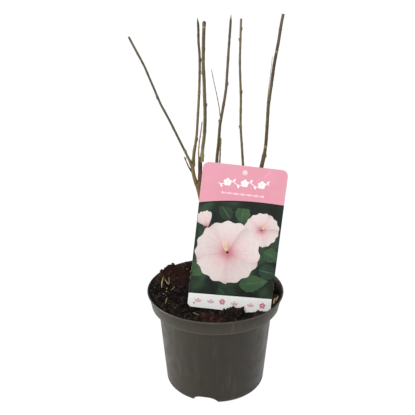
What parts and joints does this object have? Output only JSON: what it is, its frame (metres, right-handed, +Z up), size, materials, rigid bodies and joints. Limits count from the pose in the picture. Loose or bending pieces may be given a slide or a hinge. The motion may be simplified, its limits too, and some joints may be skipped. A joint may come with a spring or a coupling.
{
  "type": "potted hibiscus shrub",
  "caption": "Young bare hibiscus shrub with upright woody shoots on a short forked trunk, in a round nursery pot of soil with a stiff plant label stuck in front.",
  "frame": {"origin": "centre of the pot's flat underside", "axes": "+Z up along the shrub, -Y to the front with the plant label, +X to the right seen from the front"},
  "size_m": [0.2053, 0.19, 0.5459],
  "materials": {
    "pot_plastic": "dark grey-brown moulded plastic, satin, slightly dusty",
    "potting_soil": "dark brown bark and peat mix, rough and moist",
    "label_plastic": "printed stiff plastic card, pink, dark green and off-white, low gloss",
    "bark": "grey-brown bark with lenticels and leaf scars",
    "young_twigs": "olive to grey-brown young bark with nodes and buds"
  },
  "bodies": {
    "root": {"pot": "pot_plastic", "soil": "potting_soil", "plant_label": "label_plastic", "trunk": "bark", "left_bough": "bark", "centre_bough": "bark", "middle_bough": "bark", "right_bough": "bark", "snag_twig": "young_twigs", "far_left_shoot": "young_twigs", "left_shoot": "young_twigs", "centre_shoot": "young_twigs", "back_shoot": "young_twigs", "right_shoot": "young_twigs", "far_right_shoot": "young_twigs"}
  },
  "joints": []
}
